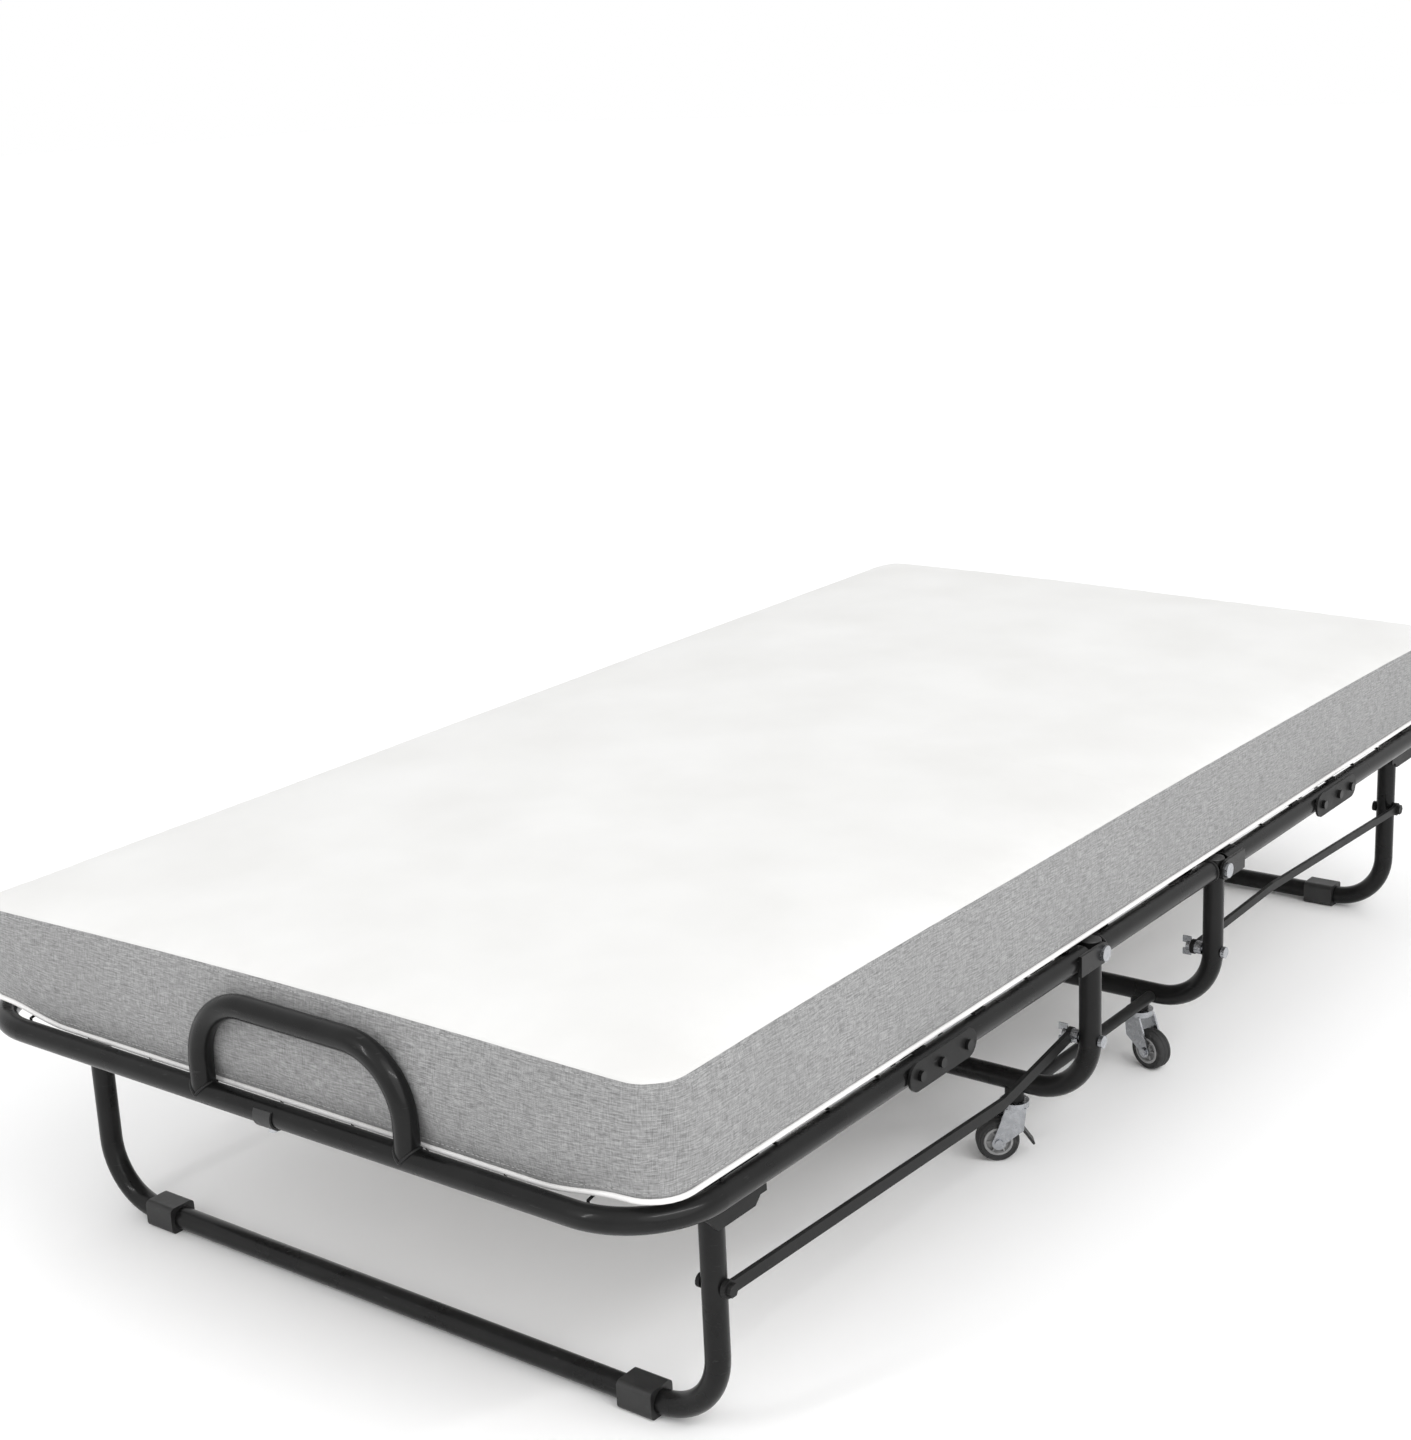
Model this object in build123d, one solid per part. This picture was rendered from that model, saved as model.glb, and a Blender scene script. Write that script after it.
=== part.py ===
# Folding cot on casters: two mattress halves hinge up from a short wheeled chassis.
# Millimetres. X runs along the bed (foot end at -X), Y across it, Z up from the floor.
# The origin is on the floor under the middle of the bed. Shapes of one half are drawn
# at the head end (+X), and the foot half is their mirror image.
import os
from build123d import *

os.makedirs("parts", exist_ok=True)

# ---- driving dimensions ----
frame_length = 1886.0        # over the two end rails
frame_width = 970.0          # over the side tubes
rail_height = 276.0          # centreline of the side tubes above the floor
tube_od = 25.0               # frame, legs and handle
tube_wall = 1.5
corner_radius = 90.0         # bends of the end loops
leg_bend_radius = 70.0       # bends of the legs and of the handle
weld_gap = 0.2               # between pieces that are welded or clamped together
running_gap = 0.5            # beside a face that moves past another
pin_clearance = 0.05         # radial, around a pin that turns

# ---- fold hinges ----
hinge_spacing = 310.0        # between the two fold axes
hinge_end_gap = 20.0         # from a fold axis to the end of the half's side tube
ear_thickness = 4.0
ear_radius = 12.0
ear_side_gap = 0.3           # between an ear and the chassis leg it straddles
ear_root = 30.0              # how far an ear runs back along the side tube
fold_bolt_d = 10.0
bolt_head_height = 4.0
fold_bolt_head_r = 9.0

# ---- splice between the end loop and the inner side tube ----
splice_distance = 486.0      # from the middle of the bed to the joint
splice_length = 125.0
splice_height = 31.0
splice_thickness = 3.0
splice_bolt_d = 6.0
splice_bolt_head_r = 5.5
splice_bolt_places = (-44.0, 6.0, 44.0)
spigot_length = 110.0
spigot_gap = 0.1             # radial, between the spigot and the tube it fills

# ---- chassis ----
caster_build = 48.0          # from the top of the wheel to the centre of the tube above it
cross_tube_od = 30.0
cross_tube_inset = 50.0      # from the fold axis towards the middle
tie_bar_d = 14.0
tie_bar_offset = 396.0       # from the long centreline

# ---- end legs ----
leg_place = 800.0            # leg pivots from the middle of the bed
leg_drop = 10.0              # leg pivots below the side tube centreline
leg_side_gap = 15.0          # between the side tube and the end leg
leg_head = 15.0              # leg tube above its pivot
foot_wall = 2.3
foot_length = 42.0
foot_block_width = 34.0
foot_block_height = 31.0
foot_block_corner = 6.0
leg_bolt_d = 8.0
leg_bolt_head_r = 7.5
leg_bolt_head_height = 5.0
leg_spacer_r = 8.0
bracket_thickness = 4.0
bracket_length = 80.0
bracket_drop = 43.0          # below the side tube centreline
bracket_rise = 8.0
bracket_corner = 8.0
stop_tab_length = 10.0
stop_tab_height = 14.0
stop_tab_width = 8.0

# ---- link rods (right-hand side only) ----
link_drop = 106.0            # lower pins below the fold axis and below the leg pivot
link_thickness = 5.0
link_height = 13.0
link_height_high = 10.0      # the rod that bows upward is slimmer, to fold under the deck
link_eye_r = 9.0
link_pin_d = 8.0
link_leg_clearance = 0.5     # radial, in the eye that closes the linkage on the leg
foot_elbow = (150.0, -22.0)  # along the rod from its chassis pin, and off its line
head_elbow = (225.0, 10.0)
pin_head_r = 7.0
pin_head_height = 4.5
spacer_r = 8.0
wing_nut_r = 6.0
wing_nut_height = 6.0
wing_span = 24.0
wing_height = 12.0
wing_thickness = 2.0

# ---- wire deck ----
wire_d = 3.0
lengthwise_wires = 9
lengthwise_pitch = 97.0
outer_bays = 5
inner_bays = 2
strap_width = 20.0
strap_thickness = 2.8
strap_places = (193.0, 390.0, 505.0)
weld_sink = 0.15             # lengthwise wires melt this far into the crosswise ones
deck_gap = 0.1               # between the deck's steel and the rails it is welded to
wire_dip = 9.0               # how far the lengthwise wires drop to their hooks at the end rail
wire_dip_length = 36.0

# ---- handle and strap clip on the foot end rail ----
handle_width = 280.0         # between the tube centrelines
handle_rise = 104.0          # top bar above the end rail
handle_offset = -43.0        # its middle across the bed
clip_length = 24.0
clip_thickness = 2.0
clip_outer_lip = 8.0         # height of its outer edge over the rail's centre
clip_inner_lip = -1.5        # height of its inner edge, under the deck's wire hooks
clip_rivet_r = 4.5
clip_rivet_height = 4.0

# ---- mattress ----
mattress_end_gap = 4.0       # inside the end rails
mattress_side_inset = 13.0   # inside the outer faces of the side tubes
mattress_thickness = 115.0
mattress_corner = 40.0
mattress_gap = 0.5           # above the deck, and between its sections

# ---- casters ----
caster_inset = 27.5          # from the start of the leg bend towards the middle
wheel_d = 50.0
tyre_width = 20.0
tyre_corner = 3.0
hub_r = 17.0
hub_width = 22.0
axle_d = 6.0
axle_head_r = 5.0
axle_head_height = 2.5
caster_trail = 20.0          # axle behind the swivel axis
fork_thickness = 2.5
fork_side_gap = 1.0
fork_top_r = 17.0
fork_top_thickness = 7.0
fork_top_rise = 16.0         # underside of the top disc above the wheel
fork_cheek_r = 8.0
fork_cheek_inset = 5.0       # cheeks stand this far inside the top disc
fork_cheek_sink = 1.0        # and this far into it
stem_r = 5.5
stem_length = 9.0
socket_r = 11.0
socket_gap = 0.3
pedal_pin_r = 2.0
pedal_boss_r = 3.5
pedal_drop = 7.0             # pivot below the top of the wheel, over its front edge
pedal_reach = 16.0           # toe in front of the pivot
pedal_toe_height = 20.0
pedal_thickness = 3.0
pedal_width = 16.0
caster_headings = {          # where each wheel trails at rest, degrees from +X towards +Y
    "foot_right": 128.0,
    "head_right": -105.0,
    "foot_left": 150.0,
    "head_left": -30.0,
}
braked_casters = ("foot_right", "foot_left")

# ---- derived places ----
tube_r = tube_od / 2
side_y = frame_width / 2 - tube_r
end_x = frame_length / 2 - tube_r
hinge_x = hinge_spacing / 2
u_leg_height = wheel_d + caster_build
cross_tube_place = hinge_x - cross_tube_inset
mattress_length = frame_length - 2 * (tube_od + mattress_end_gap)
mattress_width = frame_width - 2 * mattress_side_inset
caster_offset = side_y - leg_bend_radius - caster_inset
fork_top_height = wheel_d + fork_top_rise
pedal_place = (caster_trail - wheel_d / 2, wheel_d - pedal_drop)
pedal_toe = (pedal_place[0] - pedal_reach, pedal_toe_height)
rail_top = rail_height + tube_r
leg_y = side_y - tube_r - leg_side_gap - tube_r
leg_pivot_z = rail_height - leg_drop
leg_cross_z = tube_r + foot_wall
foot_offset = leg_y - leg_bend_radius - foot_length / 2 - weld_gap
link_pin_z = rail_height - link_drop
leg_pin_z = leg_pivot_z - link_drop
link_outer = leg_y + tube_r + running_gap + link_thickness
link_inner = link_outer - link_thickness
bracket_outer = side_y - tube_r - weld_gap
bracket_inner = bracket_outer - bracket_thickness
cross_wire_z = rail_top + deck_gap + wire_d / 2
long_wire_z = cross_wire_z + wire_d - weld_sink
deck_top = long_wire_z + wire_d / 2
mattress_bottom = deck_top + mattress_gap
mattress_top = mattress_bottom + mattress_thickness
cross_tube_z = mattress_bottom - weld_gap - cross_tube_od / 2
axle_z = wheel_d / 2


def mirrored(shape):
    """The same piece at the other end of the bed."""
    return shape.mirror(Plane.YZ)


def other_side(shape):
    """The same piece on the other long side."""
    return shape.mirror(Plane.XZ)


def both_sides(shape):
    return Compound(children=[shape, other_side(shape)])


def both_ends(shape):
    return Compound(children=[shape, mirrored(shape)])


def save(name, shape):
    solids = shape.solids()
    piece = solids[0] if len(solids) == 1 else Compound(children=list(solids))
    export_step(piece, "parts/" + name + ".step")
    print(name, len(solids))


def bent_path(points, bend):
    if len(points) == 2:
        return Line(*points)
    return FilletPolyline(*points, radius=bend)


def pipe(points, bend=0.0, od=tube_od, wall=tube_wall):
    """A round tube along straight runs joined by bends."""
    path = bent_path(points, bend)
    start = Plane(origin=path @ 0, z_dir=path % 0)
    return sweep(start * (Circle(od / 2) - Circle(od / 2 - wall)), path=path)


def rod_y(x, z, y_from, y_to, radius):
    """A round pin or hole across the bed."""
    length = abs(y_to - y_from)
    middle = (y_from + y_to) / 2
    return Pos(x, middle, z) * Rot(90, 0, 0) * Cylinder(radius, length)


def hex_y(x, z, y_from, y_to, radius):
    """A hexagonal nut or bolt head whose axis runs across the bed."""
    nut = extrude(RegularPolygon(radius, 6), abs(y_to - y_from))
    return Pos(x, max(y_from, y_to), z) * Rot(90, 0, 0) * nut


def block(x_from, x_to, y_from, y_to, z_from, z_to):
    size = (x_to - x_from, y_to - y_from, z_to - z_from)
    middle = ((x_from + x_to) / 2, (y_from + y_to) / 2, (z_from + z_to) / 2)
    return Pos(*middle) * Box(*size)


def profile_y(points, y_from, y_to):
    """A plate or block with an outline in X and Z, extruded across the bed."""
    outline = make_face(Polyline(*[(x, y_to, z) for x, z in points], close=True))
    return extrude(outline, amount=y_to - y_from, dir=(0, -1, 0))


def strip(start, stop, height, y_from, y_to):
    """A flat bar with round ends between two points in X and Z."""
    along = Vector(stop[0] - start[0], 0, stop[1] - start[1])
    side = Vector(-along.Z, 0, along.X).normalized() * (height / 2)
    corners = []
    for point, sign in ((start, 1), (stop, 1), (stop, -1), (start, -1)):
        corners.append((point[0] + sign * side.X, point[1] + sign * side.Z))
    bar = profile_y(corners, y_from, y_to)
    for x, z in (start, stop):
        bar += rod_y(x, z, y_from, y_to, height / 2)
    return bar


# ---- frame of one half, drawn at the head end ----
def end_loop():
    points = [
        (splice_distance, -side_y, rail_height),
        (end_x, -side_y, rail_height),
        (end_x, side_y, rail_height),
        (splice_distance, side_y, rail_height),
    ]
    return pipe(points, corner_radius) - splice_holes()


def splice_holes():
    holes = []
    for place in splice_bolt_places:
        x = splice_distance + place
        holes.append(rod_y(x, rail_height, -frame_width, frame_width, splice_bolt_d / 2 + pin_clearance))
    return holes


def inner_rail():
    """Right side tube between the splice and the fold hinge, with its hinge ears."""
    tube_end = hinge_x + hinge_end_gap
    tube = pipe([(tube_end, -side_y, rail_height), (splice_distance - weld_gap, -side_y, rail_height)])
    ear_face = tube_r + ear_side_gap
    root_x = tube_end + ear_root
    plug = block(tube_end, root_x, -side_y - ear_face, -side_y + ear_face,
                 rail_height - ear_radius / 2, rail_height + ear_radius / 2)
    rail = tube + plug
    for face in (-side_y - ear_face - ear_thickness, -side_y + ear_face):
        rail += block(hinge_x, root_x, face, face + ear_thickness,
                      rail_height - ear_radius, rail_height + ear_radius)
        rail += rod_y(hinge_x, rail_height, face, face + ear_thickness, ear_radius)
    rail -= rod_y(hinge_x, rail_height, -frame_width, 0, fold_bolt_d / 2 + pin_clearance)
    return rail - splice_holes()


def splice_plate():
    """Outer plate that ties the end loop to the inner side tube."""
    face = -frame_width / 2 - weld_gap
    straight = (splice_length - splice_height) / 2
    start = (splice_distance - straight, rail_height)
    stop = (splice_distance + straight, rail_height)
    return strip(start, stop, splice_height, face - splice_thickness, face) - splice_holes()


def splice_spigot():
    od = tube_od - 2 * tube_wall - 2 * spigot_gap
    start = (splice_distance - spigot_length / 2, -side_y, rail_height)
    stop = (splice_distance + spigot_length / 2, -side_y, rail_height)
    return pipe([start, stop], od=od) - splice_holes()


def splice_bolts():
    plate_face = -frame_width / 2 - weld_gap - splice_thickness - weld_gap
    nut_face = -side_y + tube_r + weld_gap
    bolts = []
    for place in splice_bolt_places:
        x = splice_distance + place
        bolt = rod_y(x, rail_height, plate_face, nut_face + bolt_head_height, splice_bolt_d / 2)
        bolt += rod_y(x, rail_height, plate_face - bolt_head_height, plate_face, splice_bolt_head_r)
        bolt += hex_y(x, rail_height, nut_face, nut_face + bolt_head_height, splice_bolt_head_r)
        bolts.append(bolt)
    return Compound(children=bolts)


def cross_straps():
    straps = []
    for x in strap_places:
        straps.append(block(x - strap_width / 2, x + strap_width / 2, -side_y, side_y,
                            rail_top + deck_gap, rail_top + deck_gap + strap_thickness))
    return Compound(children=straps)


def wire_y(number):
    return (number - (lengthwise_wires - 1) / 2) * lengthwise_pitch


def wire_run(y, places):
    """A wire at one place across the bed, along straight runs between (x, z) places."""
    run = []
    for start, stop in zip(places, places[1:]):
        path = Line((start[0], y, start[1]), (stop[0], y, stop[1]))
        run.append(sweep(Plane(origin=path @ 0, z_dir=path % 0) * Circle(wire_d / 2), path=path))
    for x, z in places[1:-1]:
        run.append(Pos(x, y, z) * Sphere(wire_d / 2))
    return run


def wire_panel(x_from, x_to, bays, lengthwise):
    """Welded wire: a crosswise wire between the bays, and lengthwise ones through given places."""
    wires = []
    for number in range(1, bays):
        x = x_from + (x_to - x_from) * number / bays
        wires.append(rod_y(x, cross_wire_z, -side_y, side_y, wire_d / 2))
    for number in range(lengthwise_wires):
        wires += wire_run(wire_y(number), lengthwise)
    return Part() + wires


def wire_deck():
    inner_strap, middle_strap, outer_strap = strap_places
    over = strap_width / 2
    hook_x = end_x - tube_r - deck_gap - wire_d / 2
    hooked = [
        (outer_strap - over, long_wire_z),
        (hook_x - wire_dip_length, long_wire_z),
        (hook_x, long_wire_z - wire_dip),
        (hook_x, rail_height),
    ]
    outer = wire_panel(outer_strap - over, hook_x, outer_bays, hooked)
    straight = [(inner_strap - over, long_wire_z), (middle_strap + over, long_wire_z)]
    inner = wire_panel(inner_strap - over, middle_strap + over, inner_bays, straight)
    return Compound(children=[*outer.solids(), *inner.solids()])


def leg_bracket():
    """Plate under the right side tube that carries the end leg's pivot."""
    face = -bracket_outer
    top = rail_height + bracket_rise
    bottom = rail_height - bracket_drop
    half = bracket_length / 2
    outline = [
        (leg_place - half, top),
        (leg_place + half, top),
        (leg_place + half, bottom + 2 * bracket_corner),
        (leg_place + half - 2 * bracket_corner, bottom),
        (leg_place - half + bracket_corner, bottom),
        (leg_place - half, bottom + bracket_corner),
    ]
    plate = profile_y(outline, face, face + bracket_thickness)
    tab_x = leg_place - half - stop_tab_length
    tab_z = bottom + bracket_corner
    plate += block(tab_x, leg_place - half + 2, face, face + stop_tab_width, tab_z, tab_z + stop_tab_height)
    return plate - rod_y(leg_place, leg_pivot_z, -frame_width, 0, leg_bolt_d / 2 + pin_clearance)


def leg_pivot_bolt():
    shoulder_end = -leg_y - tube_r - weld_gap
    head_face = -leg_y + tube_r + weld_gap
    bolt = rod_y(leg_place, leg_pivot_z, -bracket_outer, head_face + leg_bolt_head_height, leg_bolt_d / 2)
    bolt += rod_y(leg_place, leg_pivot_z, -bracket_inner + weld_gap, shoulder_end, leg_spacer_r)
    bolt += rod_y(leg_place, leg_pivot_z, head_face, head_face + leg_bolt_head_height, leg_bolt_head_r)
    return bolt


# ---- end leg ----
def end_leg():
    top = leg_pivot_z + leg_head
    points = [
        (leg_place, -leg_y, top),
        (leg_place, -leg_y, leg_cross_z),
        (leg_place, leg_y, leg_cross_z),
        (leg_place, leg_y, top),
    ]
    leg = pipe(points, leg_bend_radius)
    leg -= rod_y(leg_place, leg_pivot_z, -frame_width, frame_width, leg_bolt_d / 2 + pin_clearance)
    return leg - rod_y(leg_place, leg_pin_z, -frame_width, 0, link_pin_d / 2 + pin_clearance)


def leg_foot():
    """Plastic sleeve on the leg's cross tube that stands on the floor."""
    half = foot_block_width / 2
    y_from = -foot_offset - foot_length / 2
    body = block(leg_place - half, leg_place + half, y_from, y_from + foot_length, 0, foot_block_height)
    body = fillet(body.edges().filter_by(Axis.Y), foot_block_corner)
    return body - rod_y(leg_place, leg_cross_z, -frame_width, frame_width, tube_r + pin_clearance)


def leg_link_pin():
    """Pin through the right leg tube that carries the link rod."""
    inner_face = -leg_y + tube_r + weld_gap
    nut_face = -link_outer - socket_gap
    pin = rod_y(leg_place, leg_pin_z, nut_face - pin_head_height, inner_face + pin_head_height, link_pin_d / 2)
    pin += rod_y(leg_place, leg_pin_z, inner_face, inner_face + pin_head_height, pin_head_r)
    pin += hex_y(leg_place, leg_pin_z, nut_face - pin_head_height, nut_face, pin_head_r)
    return pin


# ---- link rods ----
def link_rod(elbow, height):
    along, off = elbow
    run = leg_place - hinge_x
    start = (hinge_x, link_pin_z)
    stop = (leg_place, leg_pin_z)
    bend = (hinge_x + along, link_pin_z + (leg_pin_z - link_pin_z) * along / run + off)
    y_from, y_to = -link_outer, -link_inner
    rod = strip(start, bend, height, y_from, y_to) + strip(bend, stop, height, y_from, y_to)
    for x, z in (start, stop):
        rod += rod_y(x, z, y_from, y_to, link_eye_r)
    rod -= rod_y(start[0], start[1], y_from, y_to, link_pin_d / 2 + pin_clearance)
    return rod - rod_y(stop[0], stop[1], y_from, y_to, link_pin_d / 2 + link_leg_clearance)


# ---- chassis ----
def u_leg():
    points = [
        (hinge_x, -side_y, rail_top),
        (hinge_x, -side_y, u_leg_height),
        (hinge_x, side_y, u_leg_height),
        (hinge_x, side_y, rail_top),
    ]
    leg = pipe(points, leg_bend_radius)
    leg -= rod_y(hinge_x, rail_height, -frame_width, frame_width, fold_bolt_d / 2 + pin_clearance)
    return leg - rod_y(hinge_x, link_pin_z, -frame_width, 0, link_pin_d / 2 + pin_clearance)


def chassis_rail():
    reach = hinge_x - tube_r - weld_gap
    return pipe([(-reach, -side_y, rail_height), (reach, -side_y, rail_height)])


def chassis_cross_tube():
    reach = side_y - tube_r - weld_gap
    ends = [(cross_tube_place, -reach, cross_tube_z), (cross_tube_place, reach, cross_tube_z)]
    return pipe(ends, od=cross_tube_od)


def tie_bar():
    length = hinge_spacing - 2 * (tube_r + weld_gap)
    return Pos(0, -tie_bar_offset, u_leg_height) * Rot(0, 90, 0) * Cylinder(tie_bar_d / 2, length)


def fold_bolt():
    """Bolt on the fold axis, right-hand side."""
    ear_face = tube_r + ear_side_gap + ear_thickness + weld_gap
    outer, inner = -side_y - ear_face, -side_y + ear_face
    bolt = rod_y(hinge_x, rail_height, outer, inner + bolt_head_height, fold_bolt_d / 2)
    bolt += rod_y(hinge_x, rail_height, outer - bolt_head_height, outer, fold_bolt_head_r)
    bolt += hex_y(hinge_x, rail_height, inner, inner + bolt_head_height, fold_bolt_head_r)
    return bolt


def link_pivot_pin():
    """Pin through the right chassis leg, with the spacer that stands the rod off it."""
    outer = -frame_width / 2 - weld_gap
    spacer_from = -side_y + tube_r + weld_gap
    pin = rod_y(hinge_x, link_pin_z, outer, -link_inner + socket_gap + wing_nut_height, link_pin_d / 2)
    pin += rod_y(hinge_x, link_pin_z, outer - pin_head_height, outer, pin_head_r)
    pin += rod_y(hinge_x, link_pin_z, spacer_from, -link_outer - socket_gap, spacer_r)
    return pin


def wing_nut():
    face = -link_inner + socket_gap
    nut = rod_y(hinge_x, link_pin_z, face, face + wing_nut_height, wing_nut_r)
    wings = block(hinge_x - wing_thickness / 2, hinge_x + wing_thickness / 2,
                  face + 1, face + wing_height, link_pin_z - wing_span / 2, link_pin_z + wing_span / 2)
    nut += wings
    return nut - rod_y(hinge_x, link_pin_z, face - 1, face + wing_height + 1, link_pin_d / 2 + pin_clearance)


# ---- handle and strap clip, drawn at the foot end ----
def end_rail_solid(radius):
    return rod_y(-end_x, rail_height, -frame_width / 4, frame_width / 4, radius)


def handle():
    left = handle_offset + handle_width / 2
    right = handle_offset - handle_width / 2
    top = rail_height + handle_rise
    points = [(-end_x, right, rail_height), (-end_x, right, top), (-end_x, left, top), (-end_x, left, rail_height)]
    return pipe(points, leg_bend_radius) - end_rail_solid(tube_r + weld_gap)


def strap_clip():
    """Saddle under the middle of the foot end rail, held by one rivet."""
    outer = tube_r + weld_gap + clip_thickness
    saddle = rod_y(-end_x, rail_height, -clip_length / 2, clip_length / 2, outer)
    saddle -= end_rail_solid(tube_r + weld_gap)
    top = rail_height + 2 * outer
    saddle -= block(-end_x - outer, -end_x, -clip_length, clip_length, rail_height + clip_outer_lip, top)
    return saddle - block(-end_x, -end_x + outer, -clip_length, clip_length, rail_height + clip_inner_lip, top)


def clip_rivet():
    top = rail_height - tube_r - weld_gap - clip_thickness - weld_gap
    return Pos(-end_x, 0, top - clip_rivet_height / 2) * Cylinder(clip_rivet_r, clip_rivet_height)


# ---- mattress sections ----
def mattress_section(outline):
    block_y = profile_y(outline, -mattress_width / 2, mattress_width / 2)
    plan = extrude(RectangleRounded(mattress_length, mattress_width, mattress_corner), mattress_top + 1)
    return block_y & plan


def mitre_x(z, lean, shift):
    """X of a 45 degree cut through the fold axis at height z, moved off it by shift."""
    return hinge_x + lean * (z - rail_height) + shift


def mattress_parts():
    low, high = mattress_bottom, mattress_top
    end = mattress_length / 2
    half = [(end, low), (end, high), (mitre_x(high, 1, mattress_gap), high), (mitre_x(low, 1, mattress_gap), low)]
    bend = [
        (mitre_x(low, 1, -mattress_gap), low),
        (mitre_x(high, 1, -mattress_gap), high),
        (mitre_x(high, -1, mattress_gap), high),
        (mitre_x(low, -1, mattress_gap), low),
    ]
    inner_low = mitre_x(low, -1, -mattress_gap)
    inner_high = mitre_x(high, -1, -mattress_gap)
    middle = [(inner_low, low), (inner_high, high), (-inner_high, high), (-inner_low, low)]
    return mattress_section(half), mattress_section(bend), mattress_section(middle)


# ---- casters, drawn with the swivel axis on Z and the trail along +X ----
def caster_socket():
    tube_bottom = u_leg_height - tube_r
    low = fork_top_height + fork_top_thickness + socket_gap
    socket = Pos(0, 0, (low + u_leg_height) / 2) * Cylinder(socket_r, u_leg_height - low)
    socket -= Pos(0, 0, u_leg_height) * Rot(90, 0, 0) * Cylinder(tube_r + weld_gap, 4 * socket_r)
    hole_top = tube_bottom - 1
    return socket - Pos(0, 0, (low + hole_top) / 2) * Cylinder(stem_r + pin_clearance, hole_top - low)


def caster_fork():
    top_z = fork_top_height + fork_top_thickness
    fork = Pos(0, 0, fork_top_height + fork_top_thickness / 2) * Cylinder(fork_top_r, fork_top_thickness)
    fork += Pos(0, 0, top_z + stem_length / 2) * Cylinder(stem_r, stem_length)
    face = hub_width / 2 + fork_side_gap
    for sign in (-1, 1):
        y_from = min(sign * face, sign * (face + fork_thickness))
        y_to = y_from + fork_thickness
        cheek = profile_y([
            (-fork_top_r + fork_cheek_inset, fork_top_height + fork_cheek_sink),
            (fork_top_r - fork_cheek_inset, fork_top_height + fork_cheek_sink),
            (caster_trail + fork_cheek_r, axle_z),
            (caster_trail - fork_cheek_r, axle_z),
            (pedal_place[0] - pedal_boss_r, pedal_place[1] - pedal_boss_r),
        ], y_from, y_to)
        cheek += rod_y(caster_trail, axle_z, y_from, y_to, fork_cheek_r)
        fork += cheek
    fork -= rod_y(caster_trail, axle_z, -frame_width, frame_width, axle_d / 2 + pin_clearance)
    return fork


def caster_axle():
    reach = hub_width / 2 + fork_side_gap + fork_thickness
    axle = rod_y(caster_trail, axle_z, -reach - weld_gap, reach + weld_gap, axle_d / 2)
    for sign in (-1, 1):
        axle += rod_y(caster_trail, axle_z, sign * (reach + weld_gap),
                      sign * (reach + weld_gap + axle_head_height), axle_head_r)
    return axle


def caster_hub():
    hub = rod_y(caster_trail, axle_z, -hub_width / 2, hub_width / 2, hub_r - pin_clearance)
    return hub - rod_y(caster_trail, axle_z, -hub_width, hub_width, axle_d / 2 + pin_clearance)


def caster_tyre():
    tyre = rod_y(caster_trail, axle_z, -tyre_width / 2, tyre_width / 2, wheel_d / 2)
    tyre = fillet(tyre.edges(), tyre_corner)
    return tyre - rod_y(caster_trail, axle_z, -tyre_width, tyre_width, hub_r)


def brake_pedal():
    """Foot lever between the fork cheeks, on a pin of its own."""
    x, z = pedal_place
    reach = hub_width / 2 + fork_side_gap - socket_gap
    pedal = rod_y(x, z, -reach, reach, pedal_boss_r)
    pedal += strip(pedal_place, pedal_toe, pedal_thickness, -pedal_width / 2, pedal_width / 2)
    return pedal - rod_y(x, z, -frame_width, frame_width, pedal_pin_r + pin_clearance)


def brake_pin():
    reach = hub_width / 2 + fork_side_gap
    return rod_y(pedal_place[0], pedal_place[1], -reach, reach, pedal_pin_r)


def caster_place(name):
    x = hinge_x if name.startswith("head") else -hinge_x
    y = caster_offset if name.endswith("left") else -caster_offset
    return Pos(x, y, 0) * Rot(0, 0, caster_headings[name])


# ---- write every piece ----
def write_half(end, turn):
    """All pieces of one half. turn mirrors what is drawn at the head end."""
    save("end_loop_" + end, turn(end_loop()))
    save("inner_rails_" + end, turn(both_sides(inner_rail())))
    save("splice_plates_" + end, turn(both_sides(splice_plate())))
    save("splice_spigots_" + end, turn(both_sides(splice_spigot())))
    save("splice_bolts_" + end, turn(both_sides(splice_bolts())))
    save("cross_straps_" + end, turn(cross_straps()))
    save("wire_deck_" + end, turn(wire_deck()))
    save("leg_brackets_" + end, turn(both_sides(leg_bracket())))
    save("leg_pivot_bolts_" + end, turn(both_sides(leg_pivot_bolt())))
    save("end_leg_" + end, turn(end_leg()))
    save("leg_feet_" + end, turn(both_sides(leg_foot())))
    save("leg_link_pin_" + end, turn(leg_link_pin()))
    save("u_leg_" + end, turn(u_leg()))
    half, bend, middle = mattress_parts()
    save("mattress_" + end, turn(half))
    save("mattress_bend_" + end, turn(bend))


def write_casters():
    for name in caster_headings:
        place = caster_place(name)
        fork = caster_fork()
        if name in braked_casters:
            fork += brake_pin()
            save("brake_pedal_" + name, place * brake_pedal())
        save("caster_fork_" + name, place * fork)
        save("caster_axle_" + name, place * caster_axle())
        save("caster_hub_" + name, place * caster_hub())
        save("caster_tyre_" + name, place * caster_tyre())
    sockets = []
    for name in caster_headings:
        sockets.append(caster_place(name) * Rot(0, 0, -caster_headings[name]) * caster_socket())
    save("caster_sockets", Compound(children=sockets))


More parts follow.
